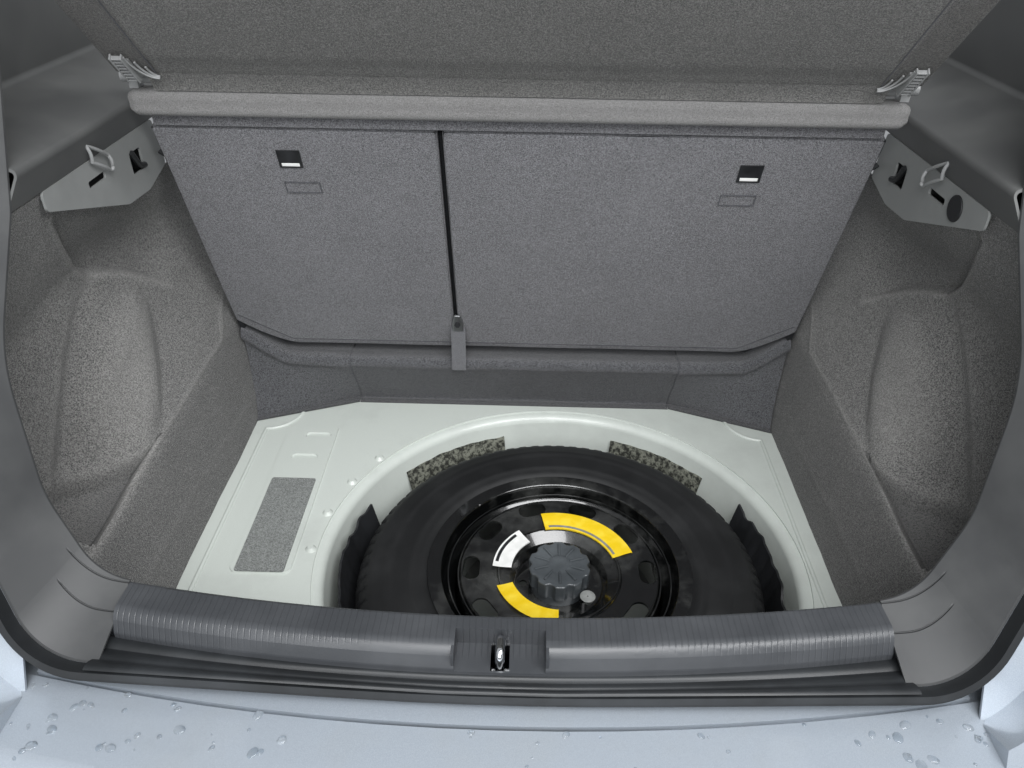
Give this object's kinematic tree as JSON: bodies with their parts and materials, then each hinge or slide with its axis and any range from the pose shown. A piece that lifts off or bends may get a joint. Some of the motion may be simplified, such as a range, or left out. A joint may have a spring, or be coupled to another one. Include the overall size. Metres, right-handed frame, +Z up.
{
  "type": "vehicle luggage compartment",
  "caption": "Luggage compartment of a small crossover car with spare wheel in its well, folding seat backs and a hinged parcel shelf.",
  "frame": {"origin": "middle of the underside of the floor's front cross member", "axes": "+X right seen from behind the car, +Y forward, +Z up"},
  "size_m": [1.7448, 1.005, 1.1227],
  "materials": {
    "body_paint": "silver metallic lacquer",
    "bumper_paint": "silver metallic lacquer",
    "black_plastic": "grained moulding",
    "beam_metal": "extruded",
    "floor_paint": "pale satin body colour",
    "floor_felt": "bonded felt",
    "step_felt": "needle felt",
    "side_felt": "needle felt",
    "damping_mat": "bitumen mat",
    "sill_plastic": "grooved moulding",
    "pillar_plastic": "fine grained moulding",
    "support_plastic": "fine grained moulding",
    "seal_rubber": "foam rubber",
    "striker_chrome": "bright plated",
    "tyre_rubber": "matt black",
    "wheel_paint": "gloss black enamel",
    "knob_plastic": "moulded",
    "zinc_steel": "zinc plated",
    "seat_carpet": "short pile carpet",
    "seat_cloth": "woven cloth over foam",
    "clip_plastic": "ribbed moulding",
    "shelf_felt": "felt faced board",
    "bar_felt": "felt covered bar"
  },
  "bodies": {
    "root": {"body_side_left": "body_paint", "body_side_right": "body_paint", "bumper_beam": "beam_metal", "bumper_cladding": "black_plastic", "bumper_cover": "bumper_paint", "clamp_knob": "knob_plastic", "clamp_stud": "zinc_steel", "cross_member": "floor_paint", "damping_pads": "damping_mat", "floor_felt_pad": "floor_felt", "floor_pan": "floor_paint", "pillar_trim_left": "pillar_plastic", "pillar_trim_right": "pillar_plastic", "rear_panel": "floor_paint", "seat_hinge_centre": "zinc_steel", "seat_hinge_left": "zinc_steel", "seat_hinge_right": "zinc_steel", "shelf_bar": "bar_felt", "shelf_pivot_left": "clip_plastic", "shelf_pivot_right": "clip_plastic", "side_carpet_left": "side_felt", "side_carpet_right": "side_felt", "side_member_left": "floor_paint", "side_member_right": "floor_paint", "sill_trim": "sill_plastic", "spare_rim": "wheel_paint", "spare_tyre": "tyre_rubber", "step_carpet_centre": "step_felt", "step_carpet_left": "step_felt", "step_carpet_right": "step_felt", "support_trim_cap": "black_plastic", "support_trim_left": "support_plastic", "support_trim_right": "support_plastic", "tailgate_striker": "striker_chrome", "upper_trim_left": "pillar_plastic", "upper_trim_right": "pillar_plastic", "weather_seal": "seal_rubber", "wheel_well": "floor_paint", "wheelhouse_left": "floor_paint", "wheelhouse_right": "floor_paint"},
    "seat_back_left": {"head_posts_outer_left": "striker_chrome", "head_restraint_outer_left": "seat_cloth", "seat_back_left_cushion": "seat_cloth", "seat_back_left_panel": "seat_carpet"},
    "seat_back_right": {"head_posts_centre": "striker_chrome", "head_posts_outer_right": "striker_chrome", "head_restraint_centre": "seat_cloth", "head_restraint_outer_right": "seat_cloth", "seat_back_right_cushion": "seat_cloth", "seat_back_right_panel": "seat_carpet"},
    "parcel_shelf": {"parcel_shelf": "shelf_felt", "shelf_clip_left": "clip_plastic", "shelf_clip_right": "clip_plastic"}
  },
  "joints": [
    {"name": "seat_back_left_hinge", "type": "hinge", "parent": "root", "child": "seat_back_left", "pos_m": [-0.31, 0.005, 0.248], "axis": [-1, 0, 0], "range_deg": [0, 95]},
    {"name": "seat_back_right_hinge", "type": "hinge", "parent": "root", "child": "seat_back_right", "pos_m": [0.2, 0.005, 0.248], "axis": [-1, 0, 0], "range_deg": [0, 95]},
    {"name": "parcel_shelf_hinge", "type": "hinge", "parent": "root", "child": "parcel_shelf", "pos_m": [0, -0.24, 0.741], "axis": [-1, 0, 0], "range_deg": [-45, 35]}
  ]
}
